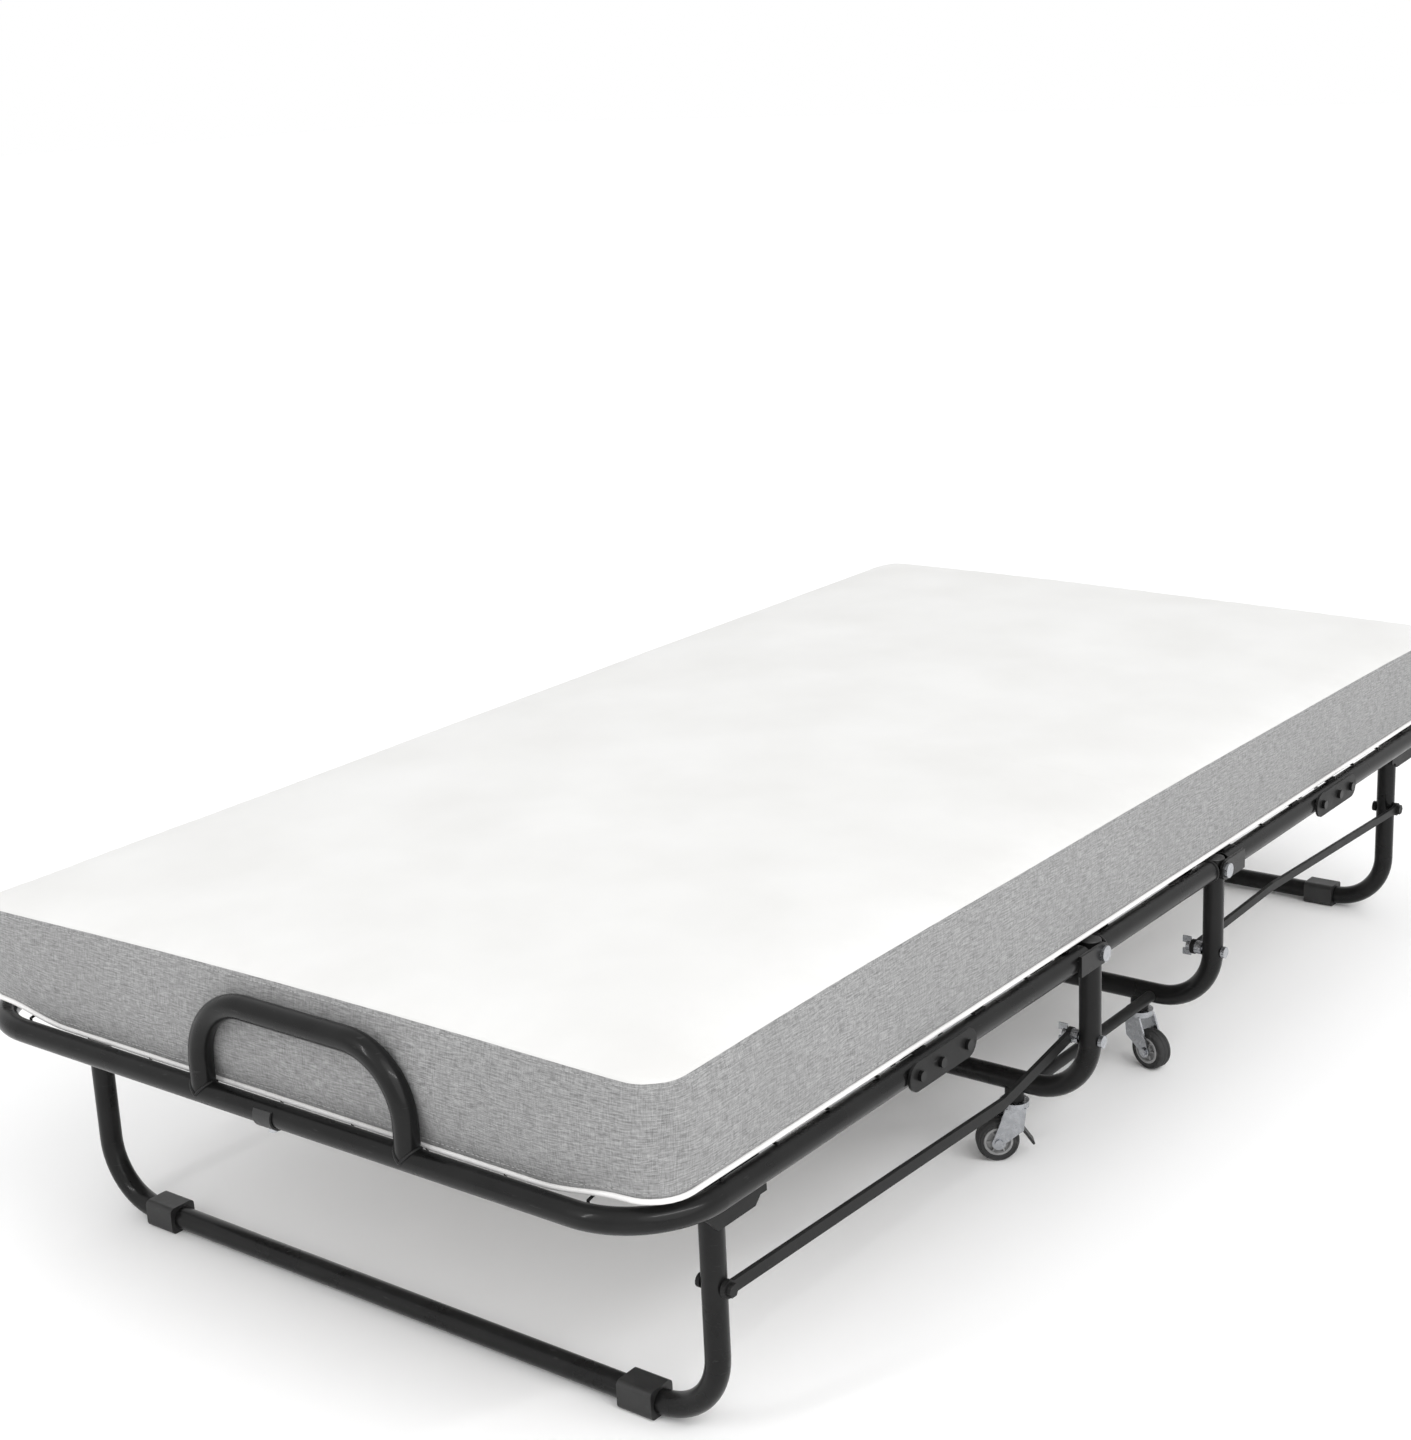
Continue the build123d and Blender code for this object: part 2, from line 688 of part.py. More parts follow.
def write_chassis():
    save("chassis_rails", both_sides(chassis_rail()))
    save("chassis_cross_tubes", both_ends(chassis_cross_tube()))
    save("tie_bars", both_sides(tie_bar()))
    save("fold_bolts", both_ends(both_sides(fold_bolt())))
    save("link_pivot_pins", both_ends(Compound(children=[link_pivot_pin(), wing_nut()])))
    half, bend, middle = mattress_parts()
    save("mattress_middle", middle)


write_half("head", lambda shape: shape)
write_half("foot", mirrored)
save("link_rod_head", link_rod(head_elbow, link_height_high))
save("link_rod_foot", mirrored(link_rod(foot_elbow, link_height)))
save("handle", handle())
save("strap_clip", strap_clip())
save("clip_rivet", clip_rivet())
write_chassis()
write_casters()
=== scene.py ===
import math

import bmesh
import bpy
import numpy as np
from mathutils import Matrix, Vector, noise
from mathutils.bvhtree import BVHTree


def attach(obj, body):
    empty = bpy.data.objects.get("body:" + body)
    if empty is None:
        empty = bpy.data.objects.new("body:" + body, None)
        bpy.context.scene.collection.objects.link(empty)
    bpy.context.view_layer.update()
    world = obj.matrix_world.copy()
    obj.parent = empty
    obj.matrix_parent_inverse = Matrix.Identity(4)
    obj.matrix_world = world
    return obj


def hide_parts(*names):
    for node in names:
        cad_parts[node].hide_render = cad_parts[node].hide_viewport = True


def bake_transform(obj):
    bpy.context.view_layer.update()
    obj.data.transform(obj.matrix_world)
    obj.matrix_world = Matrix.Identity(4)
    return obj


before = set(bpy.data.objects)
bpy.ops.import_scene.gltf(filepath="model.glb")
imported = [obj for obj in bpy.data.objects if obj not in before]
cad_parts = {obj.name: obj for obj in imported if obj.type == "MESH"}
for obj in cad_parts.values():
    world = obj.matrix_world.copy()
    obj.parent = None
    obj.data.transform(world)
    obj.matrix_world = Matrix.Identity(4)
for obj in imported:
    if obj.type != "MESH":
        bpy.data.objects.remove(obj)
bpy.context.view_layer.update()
print("frame loaded", len(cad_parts), "nodes")


# shared helpers
def add(tree, kind, inputs=None, **settings):
    node = tree.nodes.new(kind)
    for key, value in settings.items():
        setattr(node, key, value)
    for key, value in (inputs or {}).items():
        if isinstance(value, bpy.types.NodeSocket):
            tree.links.new(value, node.inputs[key])
        else:
            node.inputs[key].default_value = value
    return node


def grey(value, warm=0.0):
    return (value * (1 + warm), value, value * (1 - warm), 1)


def startMaterial(name):
    material = bpy.data.materials.new(name)
    material.use_nodes = True
    tree = material.node_tree
    tree.nodes.clear()
    return material, tree


def endMaterial(tree, inputs):
    shader = add(tree, "ShaderNodeBsdfPrincipled", inputs)
    add(tree, "ShaderNodeOutputMaterial", {"Surface": shader.outputs[0]})


def ramp(tree, factor, low, high, fromColour, toColour):
    node = add(tree, "ShaderNodeValToRGB", {0: factor})
    node.color_ramp.elements[0].position = low
    node.color_ramp.elements[1].position = high
    node.color_ramp.elements[0].color = fromColour
    node.color_ramp.elements[1].color = toColour
    return node.outputs[0]


def rangeOf(tree, factor, low, high, toLow, toHigh):
    node = add(tree, "ShaderNodeMapRange", {0: factor, 1: low, 2: high, 3: toLow, 4: toHigh})
    return node.outputs[0]


def blended(tree, factor, first, second):
    return add(tree, "ShaderNodeMix", {0: factor, 6: first, 7: second}, data_type="RGBA").outputs[2]


def calculated(tree, operation, first, second=0.0):
    return add(tree, "ShaderNodeMath", {0: first, 1: second}, operation=operation).outputs[0]


def noiseAt(tree, place, scale, detail=2.0, stretch=(1, 1, 1)):
    moved = add(tree, "ShaderNodeMapping", {"Vector": place, "Scale": stretch})
    values = {"Vector": moved.outputs[0], "Scale": scale, "Detail": detail}
    return add(tree, "ShaderNodeTexNoise", values).outputs[0]


def objectPlace(tree):
    return add(tree, "ShaderNodeTexCoord").outputs["Object"]


def clothPlace(tree):
    return add(tree, "ShaderNodeUVMap", uv_map="clothPlace").outputs[0]


def bumpOf(tree, height, strength, distance):
    values = {"Height": height, "Strength": strength, "Distance": distance}
    return add(tree, "ShaderNodeBump", values).outputs[0]


# materials
def coatedSteel(name, look):
    material, tree = startMaterial(name)
    place = objectPlace(tree)
    clouds = noiseAt(tree, place, look["cloudScale"], 3)
    grain = noiseAt(tree, place, look["grainScale"], 1)
    scratches = noiseAt(tree, place, 60, 4, (1, 1, 9))
    worn = rangeOf(tree, scratches, 0.66, 0.74, 0, look["wear"])
    colour = ramp(tree, clouds, 0.3, 0.7, look["dark"], look["light"])
    colour = blended(tree, worn, colour, look["worn"])
    rough = rangeOf(tree, clouds, 0.3, 0.7, look["smooth"], look["dull"])
    rough = calculated(tree, "ADD", rough, calculated(tree, "MULTIPLY", worn, 0.25))
    endMaterial(tree, {
        "Base Color": colour,
        "Roughness": rough,
        "Metallic": look["metallic"],
        "Specular IOR Level": look["mirror"],
        "Coat Weight": look["coat"],
        "Coat Roughness": 0.12,
        "Normal": bumpOf(tree, grain, look["grain"], 0.0004),
    })
    return material


def mouldedPlastic(name, look):
    material, tree = startMaterial(name)
    place = objectPlace(tree)
    clouds = noiseAt(tree, place, 30, 3)
    grain = add(tree, "ShaderNodeTexVoronoi", {"Vector": place, "Scale": look["grainScale"]}).outputs[0]
    dust = rangeOf(tree, noiseAt(tree, place, 140, 5), 0.6, 0.8, 0, 0.5)
    colour = ramp(tree, clouds, 0.3, 0.7, look["dark"], look["light"])
    endMaterial(tree, {
        "Base Color": blended(tree, dust, colour, look["dust"]),
        "Roughness": rangeOf(tree, clouds, 0.3, 0.7, look["smooth"], look["dull"]),
        "Normal": bumpOf(tree, grain, look["grain"], 0.0003),
    })
    return material


topKnit = {
    "loopsX": 330, "loopsY": 250, "mottling": 5.5, "lint": 700,
    # hollow is a painted shade grey for the hollows between the knit loops, not a yarn colour
    "hollow": grey(0.60, 0.01), "paintedShadeShare": 0.10,
    "dark": (0.655, 0.652, 0.640, 1), "light": (0.705, 0.704, 0.696, 1), "sheen": 0.2, "bump": 0.35,
}


# white knitted cover: small loops in rows, soft mottling, and painted shade darkening the hollows between the
# loops
def topFabric():
    material, tree = startMaterial("topKnit")
    place = clothPlace(tree)
    loops = []
    for direction, scale in (("X", topKnit["loopsX"]), ("Y", topKnit["loopsY"])):
        settings = {"Vector": place, "Scale": scale, "Distortion": 1.2, "Detail": 1}
        wave = add(tree, "ShaderNodeTexWave", settings, bands_direction=direction)
        loops.append(wave.outputs["Fac"])
    knit = calculated(tree, "MULTIPLY", *loops)
    soft = noiseAt(tree, place, topKnit["mottling"], 4)
    lint = noiseAt(tree, place, topKnit["lint"], 2)
    colour = ramp(tree, soft, 0.32, 0.68, topKnit["dark"], topKnit["light"])
    # painted shade: the colour is pulled towards the hollow grey where the loops dip
    paintedLoopShade = rangeOf(tree, knit, 0, 0.5, topKnit["paintedShadeShare"], 0)
    colour = blended(tree, paintedLoopShade, colour, topKnit["hollow"])
    height = calculated(tree, "ADD", knit, calculated(tree, "MULTIPLY", lint, 0.5))
    endMaterial(tree, {
        "Base Color": colour,
        "Roughness": rangeOf(tree, lint, 0.3, 0.7, 0.8, 0.95),
        "Sheen Weight": topKnit["sheen"],
        "Sheen Roughness": 0.4,
        "Normal": bumpOf(tree, height, topKnit["bump"], 0.0008),
    })
    return material


borderMelange = {
    "along": (70, 700, 1), "upward": (700, 90, 1), "fleck": (260, 420, 1), "weave": 210, "patches": 9,
    "dark": grey(0.145), "light": grey(0.375), "patch": grey(0.20), "sheen": 0.15, "bump": 0.45,
}


# grey melange: light and dark threads run along the border and up it
def borderFabric():
    material, tree = startMaterial("borderMelange")
    place = clothPlace(tree)
    along = noiseAt(tree, place, 1, 3, borderMelange["along"])
    upward = noiseAt(tree, place, 1, 3, borderMelange["upward"])
    fleck = noiseAt(tree, place, 1, 1, borderMelange["fleck"])
    patches = noiseAt(tree, place, borderMelange["patches"], 3)
    shares = [calculated(tree, "MULTIPLY", *share) for share in ((along, 0.5), (upward, 0.3), (fleck, 0.2))]
    threads = calculated(tree, "ADD", calculated(tree, "ADD", shares[0], shares[1]), shares[2])
    colour = ramp(tree, threads, 0.37, 0.63, borderMelange["dark"], borderMelange["light"])
    colour = blended(tree, rangeOf(tree, patches, 0.35, 0.7, 0, 0.18), colour, borderMelange["patch"])
    weave = []
    for direction in ("X", "Y"):
        settings = {"Vector": place, "Scale": borderMelange["weave"], "Distortion": 1.5, "Detail": 1}
        wave = add(tree, "ShaderNodeTexWave", settings, bands_direction=direction)
        weave.append(wave.outputs["Fac"])
    height = calculated(tree, "ADD", calculated(tree, "MAXIMUM", *weave), threads)
    endMaterial(tree, {
        "Base Color": colour,
        "Roughness": rangeOf(tree, fleck, 0.3, 0.7, 0.78, 0.95),
        "Sheen Weight": borderMelange["sheen"],
        "Sheen Roughness": 0.5,
        "Normal": bumpOf(tree, height, borderMelange["bump"], 0.0009),
    })
    return material


# plain tape, thread or backing cloth
def plainFabric(name, dark, light, scale):
    material, tree = startMaterial(name)
    place = objectPlace(tree)
    weave = add(tree, "ShaderNodeTexVoronoi", {"Vector": place, "Scale": scale}).outputs[0]
    soft = noiseAt(tree, place, 25, 3)
    endMaterial(tree, {
        "Base Color": ramp(tree, soft, 0.3, 0.7, dark, light),
        "Roughness": rangeOf(tree, weave, 0, 0.6, 0.75, 0.92),
        "Sheen Weight": 0.1,
        "Normal": bumpOf(tree, weave, 0.4, 0.0006),
    })
    return material


looks = {
    "black_tube": coatedSteel("blackTube", {
        "dark": grey(0.0045), "light": grey(0.0085), "worn": grey(0.06), "wear": 0.22, "smooth": 0.24,
        "dull": 0.36, "metallic": 0.0, "mirror": 0.12, "coat": 0.2, "cloudScale": 22, "grainScale": 800,
        "grain": 0.12,
    }),
    "black_fittings": coatedSteel("blackFittings", {
        "dark": grey(0.009), "light": grey(0.017), "worn": grey(0.10), "wear": 0.3, "smooth": 0.38,
        "dull": 0.52, "metallic": 0.0, "mirror": 0.12, "coat": 0.04, "cloudScale": 35, "grainScale": 650,
        "grain": 0.2,
    }),
    "zinc": coatedSteel("zincPlate", {
        "dark": (0.36, 0.37, 0.39, 1), "light": (0.46, 0.47, 0.49, 1), "worn": grey(0.26, 0.05), "wear": 0.3,
        "smooth": 0.2, "dull": 0.32, "metallic": 1.0, "mirror": 0.5, "coat": 0.0, "cloudScale": 160,
        "grainScale": 900, "grain": 0.12,
    }),
    "wire": coatedSteel("deckWire", {
        "dark": grey(0.008), "light": grey(0.016), "worn": grey(0.12), "wear": 0.35, "smooth": 0.35,
        "dull": 0.5, "metallic": 0.0, "mirror": 0.12, "coat": 0.04, "cloudScale": 45, "grainScale": 900,
        "grain": 0.2,
    }),
    "black_plastic": mouldedPlastic("blackPlastic", {
        "dark": grey(0.010), "light": grey(0.019), "dust": grey(0.05), "smooth": 0.42, "dull": 0.56,
        "grainScale": 900, "grain": 0.3,
    }),
    "tyre_rubber": mouldedPlastic("tyreRubber", {
        "dark": grey(0.012), "light": grey(0.026), "dust": grey(0.11, 0.05), "smooth": 0.6, "dull": 0.8,
        "grainScale": 1400, "grain": 0.35,
    }),
    "hub_plastic": mouldedPlastic("hubPlastic", {
        "dark": grey(0.23), "light": grey(0.31), "dust": grey(0.15, 0.05), "smooth": 0.35, "dull": 0.5,
        "grainScale": 1100, "grain": 0.2,
    }),
    "mattress_top": topFabric(),
    "mattress_border": borderFabric(),
    "mattress_piping": plainFabric("pipingTape", grey(0.70, 0.01), grey(0.80, 0.01), 900),
    "mattress_bottom": plainFabric("backingCloth", grey(0.58, 0.02), grey(0.70, 0.02), 500),
    "thread": plainFabric("seamThread", grey(0.34), grey(0.46), 1500),
    "weld": coatedSteel("weldBead", {
        "dark": grey(0.007), "light": grey(0.014), "worn": grey(0.06), "wear": 0.2, "smooth": 0.3,
        "dull": 0.45, "metallic": 0.0, "mirror": 0.2, "coat": 0.1, "cloudScale": 90, "grainScale": 500,
        "grain": 0.5,
    }),
}

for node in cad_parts.values():
    slotName = node.data.materials[0].name.split(".")[0]
    node.data.materials[0] = looks[slotName]
print("materials ready", len(looks))


# geometry node trees and their use
def newGroup(name, sockets):
    tree = bpy.data.node_groups.new(name, "GeometryNodeTree")
    tree.is_modifier = True
    tree.interface.new_socket("Geometry", in_out="OUTPUT", socket_type="NodeSocketGeometry")
    tree.interface.new_socket("Geometry", in_out="INPUT", socket_type="NodeSocketGeometry")
    for socket, kind in sockets:
        tree.interface.new_socket(socket, in_out="INPUT", socket_type=kind)
    return tree, add(tree, "NodeGroupInput").outputs


def closeGroup(tree, geometry, material):
    realized = add(tree, "GeometryNodeRealizeInstances", {0: geometry})
    smooth = add(tree, "GeometryNodeSetShadeSmooth", {"Geometry": realized.outputs[0]})
    painted = add(tree, "GeometryNodeSetMaterial", {"Geometry": smooth.outputs[0], "Material": material})
    add(tree, "NodeGroupOutput", {0: painted.outputs[0]})
    return tree


# a round section swept along each curve
def sweptRound():
    tree, given = newGroup("sweptRound", [("Radius", "NodeSocketFloat"), ("Material", "NodeSocketMaterial")])
    ring = add(tree, "GeometryNodeCurvePrimitiveCircle", {"Resolution": 14, "Radius": given["Radius"]})
    swept = add(tree, "GeometryNodeCurveToMesh", {
        "Curve": given["Geometry"], "Profile Curve": ring.outputs[0], "Fill Caps": True})
    return closeGroup(tree, swept.outputs[0], given["Material"])


# small beads set end to end along each curve: stitches and weld ripples
def beadRow():
    tree, given = newGroup("beadRow", [
        ("Spacing", "NodeSocketFloat"), ("Thickness", "NodeSocketFloat"), ("Length", "NodeSocketFloat"),
        ("Seed", "NodeSocketInt"), ("Material", "NodeSocketMaterial")])
    points = add(tree, "GeometryNodeCurveToPoints", {"Curve": given["Geometry"], "Length": given["Spacing"]},
                 mode="LENGTH")
    turned = add(tree, "FunctionNodeAlignRotationToVector", {"Vector": points.outputs["Tangent"]}, axis="Z")
    bead = add(tree, "GeometryNodeMeshUVSphere", {"Segments": 8, "Rings": 6, "Radius": 0.5})
    uneven = add(tree, "FunctionNodeRandomValue", {2: 0.88, 3: 1.1, "Seed": given["Seed"]}, data_type="FLOAT")
    reach = calculated(tree, "MULTIPLY", given["Length"], uneven.outputs[1])
    size = add(tree, "ShaderNodeCombineXYZ", {"X": given["Thickness"], "Y": given["Thickness"], "Z": reach})
    placed = add(tree, "GeometryNodeInstanceOnPoints", {
        "Points": points.outputs["Points"], "Instance": bead.outputs[0],
        "Rotation": turned.outputs[0], "Scale": size.outputs[0]})
    return closeGroup(tree, placed.outputs[0], given["Material"])


trees = {"swept": sweptRound(), "beads": beadRow()}


def lineObject(name, lines, cyclic=False):
    curve = bpy.data.curves.new(name, "CURVE")
    curve.dimensions = "3D"
    for line in lines:
        spline = curve.splines.new("POLY")
        spline.points.add(len(line) - 1)
        spline.points.foreach_set("co", [c for point in line for c in (*point, 1)])
        spline.use_cyclic_u = cyclic
    obj = bpy.data.objects.new(name, curve)
    bpy.context.collection.objects.link(obj)
    return obj


def showMesh(name, mesh):
    obj = bpy.data.objects.new(name, mesh)
    mesh.name = name
    bpy.context.collection.objects.link(obj)
    return obj


# the tree's result as a plain mesh object at the origin
def grown(name, lines, treeName, values, cyclic=False):
    tree = trees[treeName]
    source = lineObject(name + "Path", lines, cyclic)
    modifier = source.modifiers.new(treeName, "NODES")
    modifier.node_group = tree
    for item in tree.interface.items_tree:
        if item.in_out == "INPUT" and item.name in values:
            modifier[item.identifier] = values[item.name]
    bpy.context.view_layer.update()
    graph = bpy.context.evaluated_depsgraph_get()
    mesh = bpy.data.meshes.new_from_object(source.evaluated_get(graph), depsgraph=graph)
    bpy.data.objects.remove(source)
    return showMesh(name, mesh)


# mattress
mattress = {
    "halfLength": 0.914, "halfWidth": 0.471, "corner": 0.040, "bottom": 0.2962, "seam": 0.4055,  # outline
    "cornerCells": 4, "cell": 0.0125, "rows": 9,  # mesh
    "sideBulge": 0.002, "crown": 0.009, "crownReach": 0.22, "cornerSlump": 0.0045, "farSwell": 0.008,
    "seamWave": 0.0016, "edgeRise": 0.003, "ripple": 0.0012, "lump": 0.0012,  # unevenness
    "grooveDepth": 0.0185, "grooveFlat": 0.045, "grooveFall": 0.065,  # room for the deck at each fold
    "grooveSide": 0.4655, "grooveEdge": 0.015,
    "endDip": 0.0125, "dipLength": 0.045, "dipFrom": 0.33, "dipTo": 0.435,  # over the wire hooks
    "foldAt": 0.155, "blendHalf": 0.115,
    "moveLimit": 0.0075, "frames": 18, "pressure": 3.2, "seamHold": 0.55,  # cloth
    "topStitch": 0.36, "lowStitch": 0.62,  # shares of one mesh row
}


def cellPlaces(half, corner, cornerCells, cell):
    inner = half - corner
    count = 2 * round(inner / cell)
    edge = np.linspace(inner, half, cornerCells + 1)[1:]
    return np.concatenate([-edge[::-1], np.linspace(-inner, inner, count + 1), edge])


# plan places of every lattice point, with the corners drawn in to arcs
def roundedPlan(m):
    xs = cellPlaces(m["halfLength"], m["corner"], m["cornerCells"], m["cell"])
    ys = cellPlaces(m["halfWidth"], m["corner"], m["cornerCells"], m["cell"])
    x, y = np.meshgrid(xs, ys, indexing="ij")
    r = m["corner"]
    a = np.maximum(np.abs(x) - (m["halfLength"] - r), 0) / r
    b = np.maximum(np.abs(y) - (m["halfWidth"] - r), 0) / r
    px = np.where(a > 0, np.sign(x) * (m["halfLength"] - r + r * a * np.sqrt(1 - b * b / 2)), x)
    py = np.where(b > 0, np.sign(y) * (m["halfWidth"] - r + r * b * np.sqrt(1 - a * a / 2)), y)
    return px, py


def seamHeight(m, s, x, y):
    wave = m["seamWave"] * noise.noise(Vector((s * 2.3, 4.1, 0)))
    middle = (1 - (x / m["halfLength"]) ** 2) + (1 - (y / m["halfWidth"]) ** 2)
    slump = m["cornerSlump"] * (x / m["halfLength"]) * (y / m["halfWidth"])
    return m["seam"] + wave + m["edgeRise"] * (middle - 0.6) + slump


def clamped(value):
    return min(1.0, max(0.0, value))


# the underside hangs a little over the dipped wire ends, and is hollowed over the fold hinges
def bottomHeight(m, x, y):
    lengthwise = clamped((abs(x) - m["halfLength"] + m["dipLength"]) / m["dipLength"])
    across = clamped((m["dipTo"] - abs(y)) / (m["dipTo"] - m["dipFrom"]))
    away = abs(abs(x) - m["foldAt"]) - m["grooveFlat"]
    near = clamped(1 - away / m["grooveFall"])
    inside = clamped((m["grooveSide"] - abs(y)) / m["grooveEdge"])
    hollow = m["grooveDepth"] * near * near * (3 - 2 * near) * inside
    return m["bottom"] - m["endDip"] * lengthwise * across * across * (3 - 2 * across) + hollow


# closed quad mesh: knit top, melange border, backing below
def buildMattress(m):
    px, py = roundedPlan(m)
    nx, ny = px.shape[0] - 1, px.shape[1] - 1
    ring = [(i, 0) for i in range(nx)] + [(nx, j) for j in range(ny)]
    ring += [(i, ny) for i in range(nx, 0, -1)] + [(0, j) for j in range(ny, 0, -1)]
    count = len(ring)
    plan = np.array([(px[i, j], py[i, j]) for i, j in ring])
    inset = np.stack([np.clip(plan[:, 0], -(m["halfLength"] - m["corner"]), m["halfLength"] - m["corner"]),
                      np.clip(plan[:, 1], -(m["halfWidth"] - m["corner"]), m["halfWidth"] - m["corner"])], 1)
    out = (plan - inset) / np.linalg.norm(plan - inset, axis=1)[:, None]
    step = np.linalg.norm(np.roll(plan, -1, 0) - plan, axis=1)
    along = np.concatenate([[0], np.cumsum(step)])
    tops = np.array([seamHeight(m, along[n], *plan[n]) for n in range(count)])
    lows = np.array([bottomHeight(m, *plan[n]) for n in range(count)])
    fuller = m["farSwell"] * np.clip(plan[:, 0] / m["halfLength"] + 0.1, 0, 1) * (out[:, 1] > 0.3)
    verts = []
    for row in range(m["rows"] + 1):
        t = row / m["rows"]
        swell = m["sideBulge"] * math.sin(math.pi * t)
        ripple = np.array([m["ripple"] * math.sin(math.pi * t) * noise.noise(Vector((along[n] * 7, t * 2, 9)))
                           for n in range(count)])
        spots = plan + out * (swell + ripple + fuller * min(1.0, 1.4 * t))[:, None]
        heights = lows + (tops - lows) * t
        verts.append(np.column_stack([spots, heights]))
    verts = list(np.concatenate(verts))
    index = {"bottom": -np.ones((nx + 1, ny + 1), int), "top": -np.ones((nx + 1, ny + 1), int)}
    for n, (i, j) in enumerate(ring):  # the outer ring shares the border's vertices
        index["bottom"][i, j] = n
        index["top"][i, j] = m["rows"] * count + n
    for i in range(1, nx):
        for j in range(1, ny):
            x, y = px[i, j], py[i, j]
            edge = min(m["halfLength"] - abs(x), m["halfWidth"] - abs(y))
            rise = 1 - (1 - min(edge / m["crownReach"], 1)) ** 2
            lump = m["lump"] * noise.noise(Vector((x * 3, y * 3, 2)))
            top = seamHeight(m, 0, x, y) - m["seamWave"] * noise.noise(Vector((0, 4.1, 0)))
            index["top"][i, j] = len(verts)
            verts.append((x, y, top + m["crown"] * rise + lump))
            index["bottom"][i, j] = len(verts)
            verts.append((x, y, bottomHeight(m, x, y)))
    faces, kinds, places = [], [], []
    for i in range(nx):
        for j in range(ny):
            cell = [(i, j), (i + 1, j), (i + 1, j + 1), (i, j + 1)]
            for side, kind, order in (("top", 0, cell), ("bottom", 2, cell[::-1])):
                faces.append([int(index[side][c]) for c in order])
                kinds.append(kind)
                places += [(px[c], py[c]) for c in order]
    for row in range(m["rows"]):
        for n in range(count):
            after = (n + 1) % count
            low, high = row * count, (row + 1) * count
            faces.append([low + n, low + after, high + after, high + n])
            kinds.append(1)
            z = [m["bottom"] + (m["seam"] - m["bottom"]) * (row + k) / m["rows"] for k in (0, 1)]
            places += [(along[n], z[0]), (along[n + 1], z[0]), (along[n + 1], z[1]), (along[n], z[1])]
    mesh = bpy.data.meshes.new("mattressBody")
    mesh.from_pydata([tuple(v) for v in verts], [], faces)
    for name in ("mattress_top", "mattress_border", "mattress_bottom"):
        mesh.materials.append(looks[name])
    mesh.polygons.foreach_set("material_index", kinds)
    mesh.polygons.foreach_set("use_smooth", [True] * len(faces))
    mesh.uv_layers.new(name="clothPlace").data.foreach_set("uv", [c for place in places for c in place])
    seams = mesh.attributes.new("crease_edge", "FLOAT", "EDGE")
    topFrom = m["rows"] * count
    for edge in mesh.edges:
        first, second = edge.vertices
        if first < count and second < count:
            seams.data[edge.index].value = 0.9
        elif topFrom <= first < topFrom + count and topFrom <= second < topFrom + count:
            seams.data[edge.index].value = 0.75
    return showMesh("mattressBody", mesh), plan, out, count


def vertexArray(mesh):
    flat = np.zeros(len(mesh.vertices) * 3, np.float32)
    mesh.vertices.foreach_get("co", flat)
    return flat.reshape(-1, 3).astype(float)


# foam pushes the cover out, while the underside and bottom seam stay put
def inflate(obj, m, count):
    start = vertexArray(obj.data)
    held = obj.vertex_groups.new(name="held")
    groove = m["bottom"] + m["grooveDepth"] + 0.001
    inner = (m["rows"] + 1) * count
    low = [n for n in range(len(start)) if n < count or (start[n, 2] < groove and n >= inner)]
    held.add(low, 1.0, "REPLACE")
    held.add(list(range(m["rows"] * count, (m["rows"] + 1) * count)), m["seamHold"], "REPLACE")
    cloth = obj.modifiers.new("cover", "CLOTH")
    cloth.settings.quality = 4
    cloth.settings.mass = 0.25
    cloth.settings.tension_stiffness = 18
    cloth.settings.compression_stiffness = 12
    cloth.settings.shear_stiffness = 6
    cloth.settings.bending_stiffness = 0.4
    cloth.settings.shrink_min = -0.008
    cloth.settings.use_pressure = True
    cloth.settings.uniform_pressure_force = m["pressure"]
    cloth.settings.vertex_group_mass = "held"
    cloth.settings.effector_weights.gravity = 0
    cloth.collision_settings.use_collision = False
    cloth.point_cache.frame_start = 1
    cloth.point_cache.frame_end = m["frames"]
    for step in range(1, m["frames"] + 1):
        bpy.context.scene.frame_set(step)
    graph = bpy.context.evaluated_depsgraph_get()
    moved = vertexArray(obj.evaluated_get(graph).data)
    obj.modifiers.remove(cloth)
    bpy.context.scene.frame_set(1)
    shift = moved - start
    size = np.linalg.norm(shift, axis=1)
    allowed = m["moveLimit"] * np.tanh(size / m["moveLimit"])
    shift *= (allowed / np.maximum(size, 1e-9))[:, None]
    obj.data.vertices.foreach_set("co", (start + shift).astype(np.float32).ravel())
    obj.data.update()
    print("cover inflated, most", round(float(size.max()) * 1000, 1), "mm")


def subdivided(obj):
    obj.modifiers.new("smooth", "SUBSURF").levels = 1
    graph = bpy.context.evaluated_depsgraph_get()
    mesh = bpy.data.meshes.new_from_object(obj.evaluated_get(graph), depsgraph=graph)
    obj.modifiers.clear()
    return mesh


# one half of the mattress mesh, closed across the middle of the bed
def cutHalf(name, mesh, side):
    bm = bmesh.new()
    bm.from_mesh(mesh)
    away = [face for face in bm.faces if face.calc_center_median().x * side < 0]
    bmesh.ops.delete(bm, geom=away, context="FACES")
    rim = [edge for edge in bm.edges if edge.is_boundary]
    for vert in {vert for edge in rim for vert in edge.verts}:
        vert.co.x = side * 0.00005
    for face in bmesh.ops.edgeloop_fill(bm, edges=rim)["faces"]:
        face.material_index = 2
    for edge in rim:
        edge.smooth = False
    bmesh.ops.recalc_face_normals(bm, faces=bm.faces)
    half = bpy.data.meshes.new(name)
    bm.to_mesh(half)
    bm.free()
    for material in mesh.materials:
        half.materials.append(material)
    return showMesh(name, half)


def onSurface(tree, points, lift):
    placed = []
    for point in points:
        spot, normal, face, distance = tree.find_nearest(Vector(point))
        placed.append(spot + normal * lift)
    return placed


# bakes the piece's placement into its mesh; the piece is not bent at the fold
def foldWith(obj):
    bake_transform(obj)


